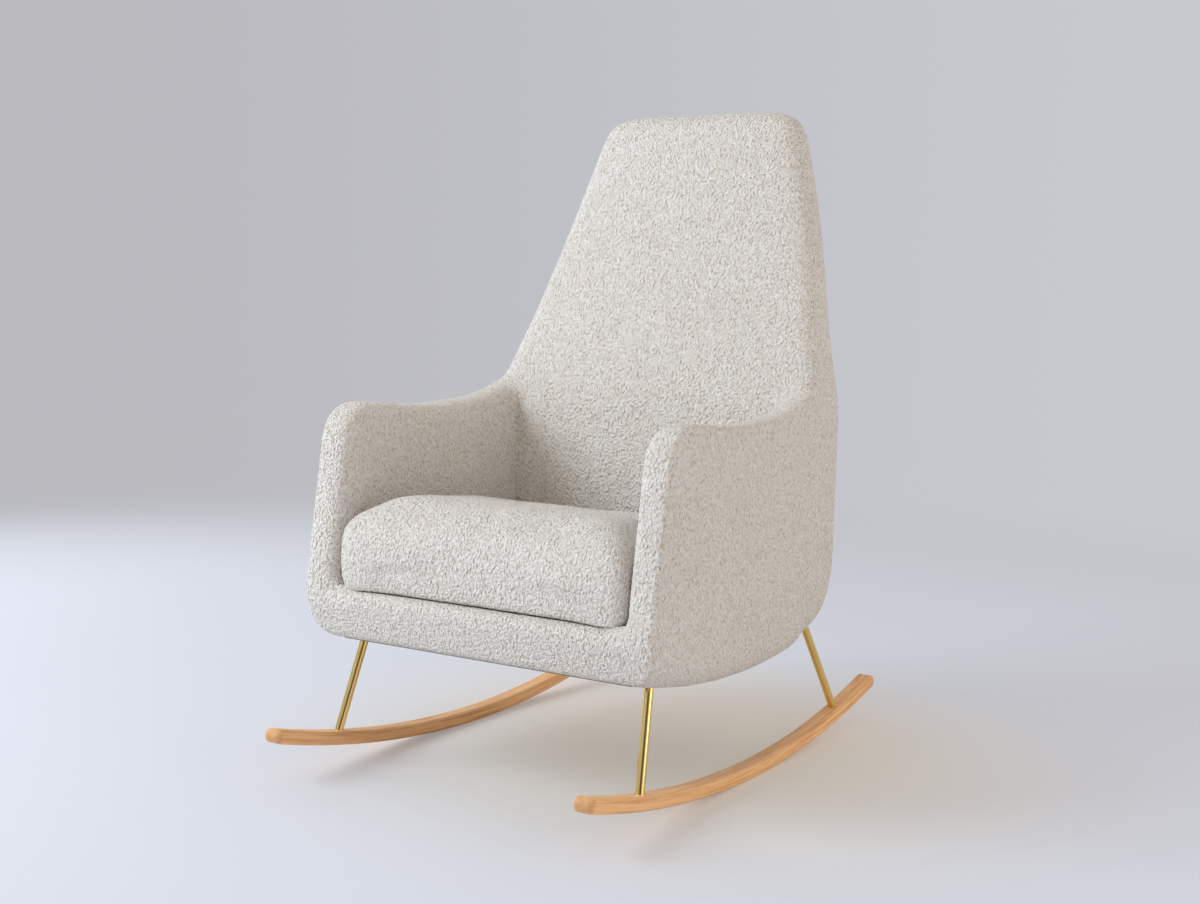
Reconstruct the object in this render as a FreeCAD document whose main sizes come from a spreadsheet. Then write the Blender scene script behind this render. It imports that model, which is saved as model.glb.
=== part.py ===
import FreeCAD, Part
import Sketcher
import math
import os
import re
from FreeCAD import Placement, Rotation, Vector

# Upholstered rocking chair: a padded tub shell over a plywood and hardwood carcass,
# four slim metal legs set at compound angles, and two bent wooden rockers.
# Millimetres. The sitter faces -Y, +Z is up, left is the sitter's left (+X).
# The origin is on the floor, midway along and between the rockers.

doc = FreeCAD.newDocument("RockingChair")
sheet = doc.addObject("Spreadsheet::Sheet", "Sizes")

sizes = {
    # rockers
    "rocker_spacing": 528,          # between the centre lines of the two rockers
    "rocker_length": 942,           # tip to tip, measured along the floor
    "rocker_radius": 1885,          # underside
    "rocker_height": 21,
    "rocker_width": 30,
    "rocker_end_rounding": 12,
    "rocker_top_chamfer": 5,
    "rocker_low_chamfer": 3.5,
    "balance_offset": 16,           # the chair rests this far behind the rockers' middle
    "rest_flat": 70,                # length of the planed flat under the balance point
    # legs
    "leg_diameter": 13,
    "leg_fit": 0.2,
    "leg_seat": 11,                 # depth of the socket in the rocker
    "leg_passage": 1,               # room round a leg in the upholstery
    "front_foot_y": -324,
    "front_head_inset": 53.7,       # from the shell's side
    "front_head_y": -273.6,
    "front_head_z": 222,
    "rear_foot_y": 319.5,
    "rear_head_inset": 59.7,
    "rear_head_y": 183.3,
    "rear_head_z": 262,
    # arms and tub
    "shell_width": 600,
    "arm_thickness": 50,
    "arm_inner_rounding": 22,
    "arm_toe_y": -345,              # corners of the arm's outline, front to back
    "arm_toe_z": 195,
    "arm_knee_y": -369,
    "arm_knee_z": 262,
    "arm_knee_radius": 80,
    "arm_crest_y": -329,
    "arm_crest_z": 552,
    "arm_crest_radius": 62,
    "arm_dip_y": -130,
    "arm_dip_z": 539,
    "arm_dip_radius": 500,
    "arm_rise_y": 30,
    "arm_rise_z": 551,
    "arm_rise_radius": 300,
    "arm_sweep_z": 580,             # where the arm's top runs into the back
    "arm_overlap": 4,               # into the back before the two are fitted
    "tub_rounding": 40,
    "tub_front_z": 205,
    "tub_low_y": -60,
    "tub_low_z": 168,
    "tub_steps": 4,                 # straight runs each side of the lowest point
    # back
    "back_front_y": 108,
    "back_crown": 12,
    "back_top_rounding": 34,
    "back_shoulder_rounding": 46,
    "back_steps": 3,                # straight runs between two stations
    "back_padding": 50,
    "back_cover": 22,
    "back_side_padding": 30,
    "back_top_padding": 55,
    # carcass
    "arm_lining": 18,
    "panel_thickness": 16,
    "panel_margin": 25,
    "panel_low_z": 215,
    "rail_thickness": 22,
    "frame_bottom": 198,
    "frame_top": 262,
    "front_rail_y": -330,           # front face of the front rail
    "rib_spacing": 252,             # between the centre planes of the back ribs
    "rib_thickness": 22,
    "core_bottom": 226,
    "back_rail_height": 38,
    "back_rail_thickness": 13,
    "lumbar_rail_z": 500,
    "shoulder_rail_z": 775,
    "crest_rail_z": 960,
    "block_inner_inset": 95,        # from the shell's side
    "front_block_depth": 70,
    "front_block_top": 250,
    "rear_block_outer_inset": 38,
    "rear_block_depth": 52,
    "rear_block_bottom": 238,
    "rear_block_top": 284,
    # suspension and coverings
    "webbing_thickness": 2,
    "webbing_width": 50,
    "seat_strap_gap": 46,
    "back_strap_pitch": 72,
    "back_strap_low_z": 296,
    "deck_thickness": 10,
    "dust_cover_thickness": 1.5,
    "band_lip_rounding": 8,
    # loose cushion
    "cushion_side_gap": 1.5,
    "cushion_front_y": -362,
    "cushion_crown_z": 402,
    "cushion_edge_z": 364,
    "cushion_crown_run": 120,       # from the side to the flat of the crown
    "cushion_rear_drop": 24,        # the crown falls this much towards the back
    "cushion_bottom_rounding": 14,
    "cushion_corner": 27,
    "cushion_draw_in": 4,
    "soft_gap": 0.3,
}

# stations of the back from the sill to the neck: height, inset from the shell's side, lean of the
# front and place of the rear behind the upright front, rounding of the front and rear corners, crown
station_keys = ("z", "inset", "lean", "rear", "front_corner", "rear_corner", "crown")
stations = {
    "sill": (188, 28, 0, 87, 4, 55, 12),
    "hip": (235, 4, 0, 136, 4, 68, 12),
    "seat": (303, 0, 0, 161, 4, 76, 12),
    "elbow": (540, 0, 0, 161, 4, 76, 12),
    "waist": (620, 15, 19, 157, 18, 60, 12),
    "chest": (700, 34, 48, 169, 30, 52, 12),
    "shoulder": (850, 70, 96, 204, 36, 48, 12),
    "neck": (1002, 112, 129, 226, 40, 46, 12),
}
for station, row in stations.items():
    sizes.update({f"{station}_{key}": value for key, value in zip(station_keys, row)})

for row, (name, value) in enumerate(sizes.items(), start=1):
    sheet.set(f"A{row}", name)
    sheet.set(f"B{row}", str(value))
    sheet.setAlias(f"B{row}", name)
doc.recompute()


def size(name):
    return float(sheet.get(name))


def bind(obj, prop, text):
    # bare size names in an expression stand for cells of the sheet
    names = "|".join(sorted(sizes, key=len, reverse=True))
    obj.setExpression(prop, re.sub(rf"\b({names})\b", r"Sizes.\1", text))


nodes = []


def node(obj, label):
    obj.Label = label
    nodes.append(obj)
    return obj


def feature(label, shape):
    obj = doc.addObject("Part::Feature", label + "_shape")
    obj.Shape = shape
    obj.Placement = Placement()
    return node(obj, label)


def board(name, low, high):
    # a straight rectangular board between two corners given as expressions
    box = doc.addObject("Part::Box", name + "_board")
    for prop, axis, start, end in zip(("Length", "Width", "Height"), "xyz", low, high):
        bind(box, prop, f"({end}) - ({start})")
        bind(box, f"Placement.Base.{axis}", start)
    return box


def mirrored(shape):
    return shape.mirror(Vector(), Vector(1, 0, 0))


def prism(points, x_low, x_high):
    # a straight-edged outline given as (y, z) pairs, extruded along X
    wire = Part.makePolygon([Vector(x_low, y, z) for y, z in points + points[:1]])
    return Part.Face(wire).extrude(Vector(x_high - x_low, 0, 0))


def space(low, high):
    return Part.makeBox(high.x - low.x, high.y - low.y, high.z - low.z, low)


def drilled(blank, cutters, label):
    tool = doc.addObject("Part::Feature", label + "_cutters")
    tool.Shape = cutters[0].fuse(cutters[1:]) if len(cutters) > 1 else cutters[0]
    cut = doc.addObject("Part::Cut", label + "_cut")
    cut.Base = blank
    cut.Tool = tool
    return node(cut, label)


# Driving places worked out from the sheet

half_width = size("shell_width") / 2
arm_inner = half_width - size("arm_thickness")
panel_inner = arm_inner + size("arm_lining")
panel_outer = panel_inner + size("panel_thickness")
back_front = size("back_front_y")
core_front = back_front + size("back_padding")
rear_rail_back = core_front + size("webbing_thickness")
webbing_top = size("frame_top") + size("webbing_thickness")
deck_top = webbing_top + size("deck_thickness")
seat_rear = back_front - size("back_crown") - size("cushion_side_gap")
flat_sag = size("rocker_radius") - math.sqrt(size("rocker_radius") ** 2 - (size("rest_flat") / 2) ** 2)
arc_height = size("rocker_radius") - flat_sag
rocker_x = size("rocker_spacing") / 2
leg_radius = size("leg_diameter") / 2
shell_top = size("neck_z") + size("back_top_rounding")
soft_gap = size("soft_gap")
far = 2 * shell_top


# Legs: each is seated in its rocker and leans into the block above it

class Leg:
    def __init__(self, corner, foot_y, head):
        top_radius = size("rocker_radius") - size("rocker_height")
        run = foot_y - size("balance_offset")
        self.corner = corner
        self.foot = Vector(rocker_x, foot_y, arc_height - math.sqrt(top_radius ** 2 - run ** 2))
        self.head = head
        self.axis = (head - self.foot).normalize()

    def rod(self, radius, start, end):
        # a round bar on the leg's own axis, measured up from the rocker's top
        return Part.makeCylinder(radius, end - start, self.foot + self.axis * start, self.axis)

    def socket(self, start, end):
        return self.rod(leg_radius + size("leg_fit"), start, end)

    def length(self):
        return (self.head - self.foot).Length


front_leg = Leg("front", size("front_foot_y"),
                Vector(half_width - size("front_head_inset"), size("front_head_y"), size("front_head_z")))
rear_leg = Leg("rear", size("rear_foot_y"),
               Vector(half_width - size("rear_head_inset"), size("rear_head_y"), size("rear_head_z")))
legs = (front_leg, rear_leg)


for leg in legs:
    rod = leg.rod(leg_radius, -size("leg_seat"), leg.length())
    feature(f"{leg.corner}_left_leg", rod)
    feature(f"{leg.corner}_right_leg", mirrored(rod))


# Rockers: a rounded bar bent to one long arc, with sockets for the legs' feet

def arc_edges(shape, radius):
    # edges that lie on the arc of this radius about the rocker's centre
    found = []
    for i, edge in enumerate(shape.Edges, start=1):
        ends = [edge.valueAt(edge.FirstParameter), edge.valueAt(edge.LastParameter)]
        reach = [math.hypot(p.y - size("balance_offset"), p.z - arc_height) for p in ends]
        if max(abs(r - radius) for r in reach) < soft_gap:
            found.append(f"Edge{i}")
    return found


def rocker_bar(side, sign):
    body = doc.addObject("PartDesign::Body", f"{side}_rocker_body")
    plane = [f for f in body.Origin.OriginFeatures if f.Role == "XZ_Plane"][0]
    sketch = body.newObject("Sketcher::SketchObject", f"{side}_rocker_section")
    sketch.AttachmentSupport = [(plane, "")]
    sketch.MapMode = "FlatFace"
    bind(sketch, "AttachmentOffset.Base.x", f"{sign} * rocker_spacing / 2")
    bind(sketch, "AttachmentOffset.Base.y",
         "sqrt(rocker_radius * rocker_radius - rest_flat * rest_flat / 4)")
    bind(sketch, "AttachmentOffset.Base.z", "-balance_offset")
    half, low, high = size("rocker_width") / 2, -size("rocker_radius"), size("rocker_height")
    corners = [Vector(-half, low), Vector(half, low), Vector(half, low + high), Vector(-half, low + high)]
    for i in range(4):
        sketch.addGeometry(Part.LineSegment(corners[i], corners[(i + 1) % 4]), False)
    for i in range(4):
        sketch.addConstraint(Sketcher.Constraint("Coincident", i, 2, (i + 1) % 4, 1))
    for kind, line in (("Vertical", 1), ("Horizontal", 2), ("Vertical", 3)):
        sketch.addConstraint(Sketcher.Constraint(kind, line))
    sketch.addConstraint(Sketcher.Constraint("Symmetric", 0, 1, 0, 2, -2))
    for label, constraint in (("width", Sketcher.Constraint("DistanceX", 0, 1, 0, 2, 2 * half)),
                              ("height", Sketcher.Constraint("DistanceY", 1, 1, 1, 2, high)),
                              ("radius", Sketcher.Constraint("DistanceY", 0, 1, -1, 1, -low))):
        index = sketch.addConstraint(constraint)
        sketch.renameConstraint(index, label)
        bind(sketch, f"Constraints.{label}", "rocker_" + label)
    bend = body.newObject("PartDesign::Revolution", f"{side}_rocker_bend")
    bend.Profile = sketch
    bend.ReferenceAxis = (sketch, ["H_Axis"])
    bend.Type = "TwoAngles"
    bind(bend, "Angle", "asin((rocker_length / 2 - balance_offset) / rocker_radius)")
    bind(bend, "Angle2", "asin((rocker_length / 2 + balance_offset) / rocker_radius)")
    doc.recompute()
    ends = body.newObject("PartDesign::Fillet", f"{side}_rocker_ends")
    upright = [f"Edge{i}" for i, e in enumerate(bend.Shape.Edges, start=1)
               if abs(e.Length - high) < soft_gap]
    ends.Base = (bend, upright)
    bind(ends, "Radius", "rocker_end_rounding")
    doc.recompute()
    top = body.newObject("PartDesign::Chamfer", f"{side}_rocker_top")
    top.Base = (ends, arc_edges(ends.Shape, size("rocker_radius") - high)[:1])
    bind(top, "Size", "rocker_top_chamfer")
    doc.recompute()
    foot = body.newObject("PartDesign::Chamfer", f"{side}_rocker_foot")
    foot.Base = (top, arc_edges(top.Shape, size("rocker_radius"))[:1])
    bind(foot, "Size", "rocker_low_chamfer")
    doc.recompute()
    return body


for side, sign in (("left", 1), ("right", -1)):
    bar = rocker_bar(side, sign)
    cutters = [leg.socket(-size("leg_seat"), size("rocker_height")) for leg in legs]
    below, beyond = size("rocker_height"), size("rocker_length")
    cutters.append(space(Vector(0, -beyond, -below), Vector(beyond, beyond, 0)))
    drilled(bar, cutters if sign > 0 else [mirrored(c) for c in cutters], f"{side}_rocker")


# Carcass: plywood arm panels and back ribs joined by rails, with a block over each leg

def interpolate(table, z):
    for (z0, v0), (z1, v1) in zip(table, table[1:]):
        if z <= z1:
            break
    return v0 + (v1 - v0) * (z - z0) / (z1 - z0)


def station_place(name):
    place = {key: size(f"{name}_{key}") for key in station_keys}
    place["half"] = half_width - place["inset"]
    place["front"] = back_front + place["lean"]
    place["rear"] += back_front
    return place


places = [station_place(name) for name in stations]
level_keys = ("half", "front", "rear", "front_corner", "rear_corner", "crown")


def slope_at(key, i):
    # slope at a station, held back so that the line never overshoots the next one
    pairs = [(places[j], places[j + 1]) for j in (i - 1, i) if 0 <= j < len(places) - 1]
    slopes = [(q[key] - p[key]) / (q["z"] - p["z"]) for p, q in pairs]
    if len(slopes) == 1:
        return slopes[0]
    if slopes[0] * slopes[1] <= 0:
        return 0.0
    return 2 * slopes[0] * slopes[1] / (slopes[0] + slopes[1])


def smooth_level(z):
    i = max(j for j in range(len(places) - 1) if places[j]["z"] <= z)
    run = places[i + 1]["z"] - places[i]["z"]
    t = (z - places[i]["z"]) / run
    level = {"z": z}
    for key in level_keys:
        a, b = places[i][key], places[i + 1][key]
        rise = run * (slope_at(key, i) * t * (1 - t) ** 2 - slope_at(key, i + 1) * t * t * (1 - t))
        level[key] = a + (b - a) * t * t * (3 - 2 * t) + rise
    return level


levels = []
for low, high in zip(places, places[1:]):
    straight = all(low[key] == high[key] for key in level_keys)
    steps = 1 if straight else int(size("back_steps"))
    levels += [smooth_level(low["z"] + (high["z"] - low["z"]) * i / steps) for i in range(steps)]
neck = places[-1]
for turn in (0, 45, 90):
    inset = 1 - math.cos(math.radians(turn))
    roll = size("back_top_rounding") * inset
    levels.append({
        "z": neck["z"] + size("back_top_rounding") * math.sin(math.radians(turn)),
        "half": neck["half"] - size("back_shoulder_rounding") * inset,
        "front": neck["front"] + roll,
        "rear": neck["rear"] - roll,
        "front_corner": neck["front_corner"] - roll,
        "rear_corner": neck["rear_corner"] - roll,
        "crown": neck["crown"] * (1 - inset / 2)})

core_top = shell_top - size("back_top_padding")
front_line = [(p["z"], p["front"] + size("back_padding")) for p in places]
rear_line = [(p["z"], p["rear"] - size("back_cover")) for p in places]
side_line = [(p["z"], p["half"] - size("back_side_padding")) for p in places]
core_zs = [p["z"] for p in places if size("core_bottom") < p["z"] < core_top]
core_zs = [size("core_bottom")] + core_zs + [core_top]


def core_level(z):
    x, y0, y1 = interpolate(side_line, z), interpolate(front_line, z), interpolate(rear_line, z)
    corners = [Vector(-x, y0, z), Vector(x, y0, z), Vector(x, y1, z), Vector(-x, y1, z)]
    return Part.makePolygon(corners + corners[:1])


core = Part.makeLoft([core_level(z) for z in core_zs], True, True)


def arc(start, middle, end):
    return Part.Arc(start, middle, end).toShape()


def line(start, end):
    return Part.LineSegment(start, end).toShape()


def back_level(v):
    x, y0, y1, r0, r1, z = v["half"], v["front"], v["rear"], v["front_corner"], v["rear_corner"], v["z"]
    k = 1 - math.sqrt(0.5)
    front = arc(Vector(-x + r0, y0, z), Vector(0, y0 - v["crown"], z), Vector(x - r0, y0, z))
    corner = arc(Vector(x - r0, y0, z), Vector(x - k * r0, y0 + k * r0, z), Vector(x, y0 + r0, z))
    side = line(Vector(x, y0 + r0, z), Vector(x, y1 - r1, z))
    heel = arc(Vector(x, y1 - r1, z), Vector(x - k * r1, y1 - k * r1, z), Vector(x - r1, y1, z))
    rear = line(Vector(x - r1, y1, z), Vector(-x + r1, y1, z))
    right = [mirrored(e) for e in (heel, side, corner)]
    return Part.Wire(Part.__sortEdges__([front, corner, side, heel, rear] + right))


back = Part.makeLoft([back_level(v) for v in levels], True, True)


# Arms and front band share one front line and one rounded tub underside

def rounded_line(corners):
    # straight runs joined by tangent arcs; a corner is a point and its radius
    edges = []
    last = corners[0][0]
    for i in range(1, len(corners) - 1):
        point, radius = corners[i]
        back_way = (corners[i - 1][0] - point).normalize()
        on_way = (corners[i + 1][0] - point).normalize()
        half_angle = back_way.getAngle(on_way) / 2
        reach = radius / math.tan(half_angle)
        start, end = point + back_way * reach, point + on_way * reach
        bisector = (back_way + on_way).normalize()
        middle = point + bisector * (radius / math.sin(half_angle) - radius)
        edges += [line(last, start), arc(start, middle, end)]
        last = end
    return edges + [line(last, corners[-1][0])]


def arm_face(x):
    bottom = -size("tub_low_z")
    start = Vector(x, back_front + size("arm_overlap"), size("arm_sweep_z"))
    corners = [(start, 0)]
    for name in ("rise", "dip", "crest", "knee"):
        point = Vector(x, size(f"arm_{name}_y"), size(f"arm_{name}_z"))
        corners.append((point, size(f"arm_{name}_radius")))
    toe = Vector(x, size("arm_toe_y"), size("arm_toe_z"))
    corners.append((toe, 0))
    below = [toe, Vector(x, toe.y, bottom), Vector(x, start.y, bottom), start]
    return Part.Face(Part.Wire(rounded_line(corners) + Part.makePolygon(below).Edges))


def arm_prism(x_low, x_high):
    return arm_face(x_low).extrude(Vector(x_high - x_low, 0, 0))


def tub_section(y, low):
    x, r, k = half_width, size("tub_rounding"), 1 - math.sqrt(0.5)
    high = shell_top
    bilge = arc(Vector(x, y, low + r), Vector(x - k * r, y, low + k * r), Vector(x - r, y, low))
    keel = line(Vector(x - r, y, low), Vector(-x + r, y, low))
    corners = [Vector(-x, y, low + r), Vector(-x, y, high), Vector(x, y, high), Vector(x, y, low + r)]
    lid = Part.makePolygon(corners)
    return Part.Wire(Part.__sortEdges__([bilge, mirrored(bilge), keel] + lid.Edges))


tub_runs = int(size("tub_steps"))
tub_ends = ((size("arm_knee_y") - soft_gap, size("tub_front_z")), (core_front, size("sill_z")))
tub_sections = []
for n in range(-tub_runs, tub_runs + 1):
    share = n / tub_runs
    end_y, end_z = tub_ends[0] if n < 0 else tub_ends[1]
    tub_sections.append(tub_section(size("tub_low_y") + (end_y - size("tub_low_y")) * abs(share),
                                    size("tub_low_z") + (end_z - size("tub_low_z")) * share * share))
tub = Part.makeLoft(tub_sections, True, True)

seat_box = space(Vector(-panel_inner, size("front_rail_y"), size("frame_bottom")),
                 Vector(panel_inner, rear_rail_back, webbing_top))
under_back = space(Vector(-panel_inner, -far, 0), Vector(panel_inner, rear_rail_back, webbing_top))
above_deck = space(Vector(-far, -far, deck_top), Vector(far, far, far))
passages = [leg.rod(leg_radius + size("leg_passage"), 0, leg.length() + leg_radius) for leg in legs]
passages += [mirrored(p) for p in passages]

panel_face = arm_face(panel_inner).OuterWire.makeOffset2D(-size("panel_margin"))
panel_zone = space(Vector(0, -far, size("panel_low_z")), Vector(far, far, far))
left_panel = Part.Face(panel_face).extrude(Vector(size("panel_thickness"), 0, 0)).common(panel_zone)
panel_tail = space(Vector(panel_inner, size("tub_low_y"), size("panel_low_z")),
                   Vector(panel_outer, rear_rail_back, webbing_top))
left_panel = left_panel.fuse(panel_tail).removeSplitter()
feature("left_arm_panel", left_panel)
feature("right_arm_panel", mirrored(left_panel))

whole_arm = arm_prism(arm_inner, half_width)
upper_arm = whole_arm.common(above_deck)


def on_inner_edge(edge):
    box = edge.BoundBox
    upright_rear = box.YMin > back_front
    along_deck = box.ZMax < deck_top + soft_gap
    return abs(box.XMax - arm_inner) < soft_gap and not upright_rear and not along_deck


inner_edges = [e for e in upper_arm.Edges if on_inner_edge(e) and e.BoundBox.XLength < soft_gap]
upper_arm = upper_arm.makeFillet(size("arm_inner_rounding"), inner_edges)
lower_arm = whole_arm.cut(above_deck).common(tub)
left_arm = upper_arm.fuse(lower_arm).removeSplitter()
set_back = back.copy()
set_back.translate(Vector(0, -soft_gap, 0))
left_arm = left_arm.cut([set_back, left_panel, seat_box] + passages)
feature("left_arm", left_arm)
feature("right_arm", mirrored(left_arm))

band_zone = space(Vector(-arm_inner, -far, 0), Vector(arm_inner, size("front_rail_y"), deck_top))
band = arm_prism(-arm_inner, arm_inner).common(tub).common(band_zone)
lip = [e for e in band.Edges if e.BoundBox.ZMin > deck_top - soft_gap and e.BoundBox.XLength > arm_inner
       and e.BoundBox.YMax < size("front_rail_y") - size("band_lip_rounding")]
band = band.makeFillet(size("band_lip_rounding"), lip)
feature("front_band", band)

rib_front = [(interpolate(front_line, z) + size("webbing_thickness"), z) for z in core_zs]
rib_rear = [(interpolate(rear_line, z), z) for z in reversed(core_zs)]
rib_inner = (size("rib_spacing") - size("rib_thickness")) / 2
left_rib = prism(rib_front + rib_rear, rib_inner, rib_inner + size("rib_thickness"))
feature("left_back_rib", left_rib)
feature("right_back_rib", mirrored(left_rib))

for name in ("lumbar_rail", "shoulder_rail", "crest_rail"):
    z = size(name + "_z")
    rail = doc.addObject("Part::Box", name + "_board")
    bind(rail, "Length", "rib_spacing - rib_thickness")
    bind(rail, "Width", "back_rail_thickness")
    bind(rail, "Height", "back_rail_height")
    middle = (interpolate(front_line, z) + size("webbing_thickness") + interpolate(rear_line, z)) / 2
    rail.Placement = Placement(Vector(-rib_inner, middle - size("back_rail_thickness") / 2,
                                      z - size("back_rail_height") / 2), Rotation())
    node(rail, name)

split_line = [((interpolate(front_line, z) + interpolate(rear_line, z)) / 2, z) for z in core_zs]
split_line = [(split_line[0][0], 0)] + split_line + [(split_line[-1][0], far)]
front_half = prism([(-far, 0)] + split_line + [(-far, far)], -far, far)
hollow_back = back.cut([core, under_back, left_panel, mirrored(left_panel)] + passages)
feature("inside_back", hollow_back.common(front_half))
feature("outside_back", hollow_back.cut(front_half))

panel_half = "shell_width / 2 - arm_thickness + arm_lining"
rear_face = "back_front_y + back_padding + webbing_thickness"
seat_half = "shell_width / 2 - arm_thickness"
node(board("front_rail", (f"-({panel_half})", "front_rail_y", "frame_bottom"),
           (panel_half, "front_rail_y + rail_thickness", "frame_top")), "front_rail")
node(board("rear_rail", (f"-({panel_half})", f"{rear_face} - rail_thickness", "frame_bottom"),
           (panel_half, rear_face, "frame_top")), "rear_rail")
node(board("seat_deck", (f"-({seat_half})", "front_rail_y", "frame_top + webbing_thickness"),
           (seat_half, "back_front_y - back_crown - cushion_side_gap",
            "frame_top + webbing_thickness + deck_thickness")), "seat_deck")

for side, sign in (("left", 1), ("right", -1)):
    for leg in legs:
        if leg is front_leg:
            outer, y_low, z_low = panel_half, "front_rail_y + rail_thickness", "frame_bottom"
        else:
            outer, y_low, z_low = "shell_width / 2 - rear_block_outer_inset", rear_face, "rear_block_bottom"
        inner = "shell_width / 2 - block_inner_inset"
        xs = (inner, outer) if sign > 0 else (f"-({outer})", f"-({inner})")
        name = f"{leg.corner}_{side}_block"
        blank = board(name, (xs[0], y_low, z_low),
                      (xs[1], f"{y_low} + {leg.corner}_block_depth", f"{leg.corner}_block_top"))
        socket = leg.socket(0, leg.length())
        drilled(blank, [socket if sign > 0 else mirrored(socket)], name)

cover = board("dust_cover", (f"-({seat_half})", "front_rail_y", "frame_bottom - dust_cover_thickness"),
              (seat_half, rear_face, "frame_bottom"))
drilled(cover, [passages[0], passages[2]], "dust_cover")

width = size("webbing_width")
pitch = width + size("seat_strap_gap")
feature("seat_webbing", Part.makeCompound([
    space(Vector(n * pitch - width / 2, size("front_rail_y"), size("frame_top")),
          Vector(n * pitch + width / 2, rear_rail_back, webbing_top))
    for n in (-2, -1, 0, 1, 2)]))
feature("back_webbing", Part.makeCompound([
    space(Vector(-rib_inner - size("rib_thickness"), core_front, z - width / 2),
          Vector(rib_inner + size("rib_thickness"), rear_rail_back, z + width / 2))
    for z in (size("back_strap_low_z") + n * size("back_strap_pitch") for n in range(4))]))


# Loose seat cushion: crowned top, sides drawn in between rounded corners

bottom_z = deck_top + soft_gap
edge_z, crown_z = size("cushion_edge_z"), size("cushion_crown_z")


def cushion_level(z, inset):
    r, k, draw = size("cushion_corner"), 1 - math.sqrt(0.5), size("cushion_draw_in")
    x = arm_inner - size("cushion_side_gap") - inset
    y0, y1 = size("cushion_front_y") + inset, seat_rear - inset
    fall = size("cushion_rear_drop") * max(z - edge_z, 0) / (crown_z - edge_z)
    depth = seat_rear - size("cushion_front_y")

    def at(px, py):
        return Vector(px, py, z - fall * (py - size("cushion_front_y")) / depth)

    front = arc(at(-x + r, y0), at(0, y0 + draw), at(x - r, y0))
    rear = arc(at(x - r, y1), at(0, y1 - draw), at(-x + r, y1))
    side = arc(at(x, y0 + r), at(x - draw, (y0 + y1) / 2), at(x, y1 - r))
    toe = arc(at(x - r, y0), at(x - k * r, y0 + k * r), at(x, y0 + r))
    heel = arc(at(x, y1 - r), at(x - k * r, y1 - k * r), at(x - r, y1))
    left = [side, toe, heel]
    return Part.Wire(Part.__sortEdges__([front, rear] + left + [mirrored(e) for e in left]))


cushion_levels = []
for turn in (0, 90):
    tuck = size("cushion_bottom_rounding")
    cushion_levels.append((bottom_z + tuck * (1 - math.cos(math.radians(turn))),
                           tuck * (1 - math.sin(math.radians(turn)))))
for turn in (0, 25, 50, 72, 90):
    cushion_levels.append((edge_z + (crown_z - edge_z) * math.sin(math.radians(turn)),
                           size("cushion_crown_run") * (1 - math.cos(math.radians(turn)))))
cushion = Part.makeLoft([cushion_level(z, inset) for z, inset in cushion_levels], True, True)
feature("seat_cushion", cushion)

doc.recompute()
failed = [o.Label for o in doc.Objects if {"Invalid", "Error"} & set(o.State)]
failed += [o.Label for o in nodes if o.Shape.isNull() or not o.Shape.isValid()]
if failed:
    raise RuntimeError("not built: " + ", ".join(failed))

os.makedirs("parts", exist_ok=True)
for obj in nodes:
    obj.Shape.exportStep(f"parts/{obj.Label}.step")
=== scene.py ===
import math
import bmesh
import bpy
import numpy as np
from mathutils import Matrix, Vector
from mathutils.bvhtree import BVHTree


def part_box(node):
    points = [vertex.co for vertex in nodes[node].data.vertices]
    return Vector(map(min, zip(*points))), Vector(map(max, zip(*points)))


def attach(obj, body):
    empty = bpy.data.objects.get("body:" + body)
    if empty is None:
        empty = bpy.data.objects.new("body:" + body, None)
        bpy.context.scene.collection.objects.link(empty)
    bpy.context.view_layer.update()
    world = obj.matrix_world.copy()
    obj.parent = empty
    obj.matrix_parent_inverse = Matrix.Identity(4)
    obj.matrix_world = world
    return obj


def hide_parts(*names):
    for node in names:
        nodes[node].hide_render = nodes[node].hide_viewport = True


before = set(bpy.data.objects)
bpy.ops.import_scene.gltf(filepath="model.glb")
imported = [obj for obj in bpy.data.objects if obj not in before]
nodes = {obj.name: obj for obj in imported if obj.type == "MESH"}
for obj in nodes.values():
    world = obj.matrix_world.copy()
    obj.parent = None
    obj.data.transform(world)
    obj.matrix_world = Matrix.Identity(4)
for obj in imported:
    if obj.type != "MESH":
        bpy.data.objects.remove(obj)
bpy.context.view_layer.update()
scene = bpy.context.scene
scene.view_settings.view_transform = "Standard"
print("frame loaded with", len(nodes), "nodes")


def addPiece(name, mesh):
    piece = bpy.data.objects.new(name, mesh)
    scene.collection.objects.link(piece)
    return piece


def addNode(tree, kind, **settings):
    node = tree.nodes.new(kind)
    for key, value in settings.items():
        setattr(node, key, value)
    return node


def feed(tree, node, **values):
    # an input goes by name, with _ for a space, or by place as i0, i1; a value is a socket to link, or plain
    for key, value in values.items():
        byPlace = key[0] == "i" and key[1:].isdigit()
        socket = node.inputs[int(key[1:]) if byPlace else key.replace("_", " ")]
        if isinstance(value, bpy.types.NodeSocket):
            tree.links.new(value, socket)
        else:
            socket.default_value = value


def sums(tree, operation, a, b=0.0, c=None, clamp=False):
    node = addNode(tree, "ShaderNodeMath", operation=operation, use_clamp=clamp)
    feed(tree, node, i0=a, i1=b)
    if c is not None:
        feed(tree, node, i2=c)
    return node.outputs[0]


def vectors(tree, operation, a, b=None, scale=None):
    node = addNode(tree, "ShaderNodeVectorMath", operation=operation)
    feed(tree, node, i0=a)
    if b is not None:
        feed(tree, node, i1=b)
    if scale is not None:
        feed(tree, node, Scale=scale)
    return node.outputs[1] if operation in ("LENGTH", "DISTANCE", "DOT_PRODUCT") else node.outputs[0]


def fade(tree, value, start, end, low=0.0, high=1.0):
    node = addNode(tree, "ShaderNodeMapRange", interpolation_type="SMOOTHSTEP")
    feed(tree, node, i0=value, i1=start, i2=end, i3=low, i4=high)
    return node.outputs[0]


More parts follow.
